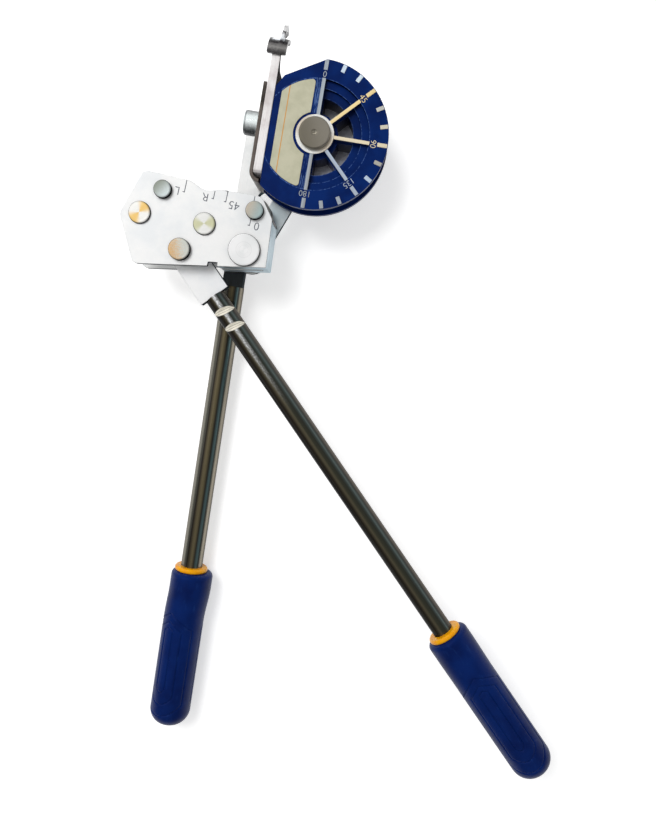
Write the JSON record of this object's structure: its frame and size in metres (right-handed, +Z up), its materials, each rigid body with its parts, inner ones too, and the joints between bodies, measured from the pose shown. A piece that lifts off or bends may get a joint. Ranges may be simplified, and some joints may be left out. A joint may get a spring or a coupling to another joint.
{
  "type": "pipe bender",
  "caption": "Lever tube bender with a grooved form wheel, a swinging roller link, a strap latch and two long handles.",
  "frame": {"origin": "on the bench, under the middle of the tool's bounding box as it lies flat", "axes": "+Z up out of the dial, +Y along the fixed handle from its grip towards the form wheel, +X across the wheel away from its flat and latch"},
  "size_m": [0.2854, 0.4042, 0.0477],
  "materials": {
    "wheel_blue": "semi-gloss",
    "label_cream": "satin",
    "bright_steel": "zinc plated",
    "axle_steel": "turned",
    "washer_dark": "phosphated, dull",
    "link_steel": "zinc plated",
    "pin_steel": "turned",
    "pin_aged": "turned, lightly aged",
    "roller_steel": "turned",
    "handle_chrome": "polished",
    "collar_yellow": "glossy",
    "grip_blue": "satin"
  },
  "bodies": {
    "frame": {"form_wheel": "wheel_blue", "dial_ribs": "wheel_blue", "dial_label": "label_cream", "hub_washer": "bright_steel", "wheel_axle": "axle_steel", "arm_spacer": "washer_dark", "arm_washer": "bright_steel", "axle_nut": "bright_steel", "handle_bar": "bright_steel", "side_plate": "bright_steel", "latch_screw": "bright_steel", "handle_tube": "handle_chrome", "handle_collar": "collar_yellow", "handle_grip": "grip_blue"},
    "latch": {"latch_strap": "bright_steel", "latch_saddle": "bright_steel"},
    "arm": {"swing_arm": "bright_steel"},
    "link": {"link_yoke": "link_steel", "near_roller_pin": "pin_steel", "far_roller_pin": "pin_steel", "rear_rivet": "pin_steel", "stop_rivet": "pin_steel", "lever_pivot": "pin_aged", "link_pivot": "pin_steel", "rear_sleeve": "pin_steel", "stop_sleeve": "pin_steel", "upper_lever_spacer": "pin_steel", "lower_lever_spacer": "pin_steel", "link_sleeve": "pin_steel", "link_washer": "pin_steel"},
    "near_roller": {"near_roller": "roller_steel"},
    "far_roller": {"far_roller": "roller_steel"},
    "lever": {"lever_blade": "bright_steel", "lever_tube": "handle_chrome", "lever_collar": "collar_yellow", "lever_grip": "grip_blue"}
  },
  "joints": [
    {"name": "arm_swing", "type": "hinge", "parent": "frame", "child": "arm", "pos_m": [-0.04688, 0.1481, 0.033], "axis": [0, 0, 1], "range_deg": [-5, 200]},
    {"name": "link_swing", "type": "hinge", "parent": "arm", "child": "link", "pos_m": [-0.07344, 0.08204, 0.033], "axis": [0, 0, 1], "range_deg": [-17.8, 60]},
    {"name": "near_roller_spin", "type": "hinge", "parent": "link", "child": "near_roller", "pos_m": [-0.07121, 0.10325, 0.033], "axis": [0, 0, 1], "continuous": true},
    {"name": "far_roller_spin", "type": "hinge", "parent": "link", "child": "far_roller", "pos_m": [-0.12143, 0.10614, 0.033], "axis": [0, 0, 1], "continuous": true},
    {"name": "lever_play", "type": "hinge", "parent": "link", "child": "lever", "pos_m": [-0.10763, 0.07664, 0.033], "axis": [0, 0, 1], "range_deg": [-6, 6]},
    {"name": "latch_swing", "type": "hinge", "parent": "frame", "child": "latch", "pos_m": [-0.07403, 0.1511, 0.033], "axis": [1, 0, 0], "range_deg": [0, 30]}
  ]
}
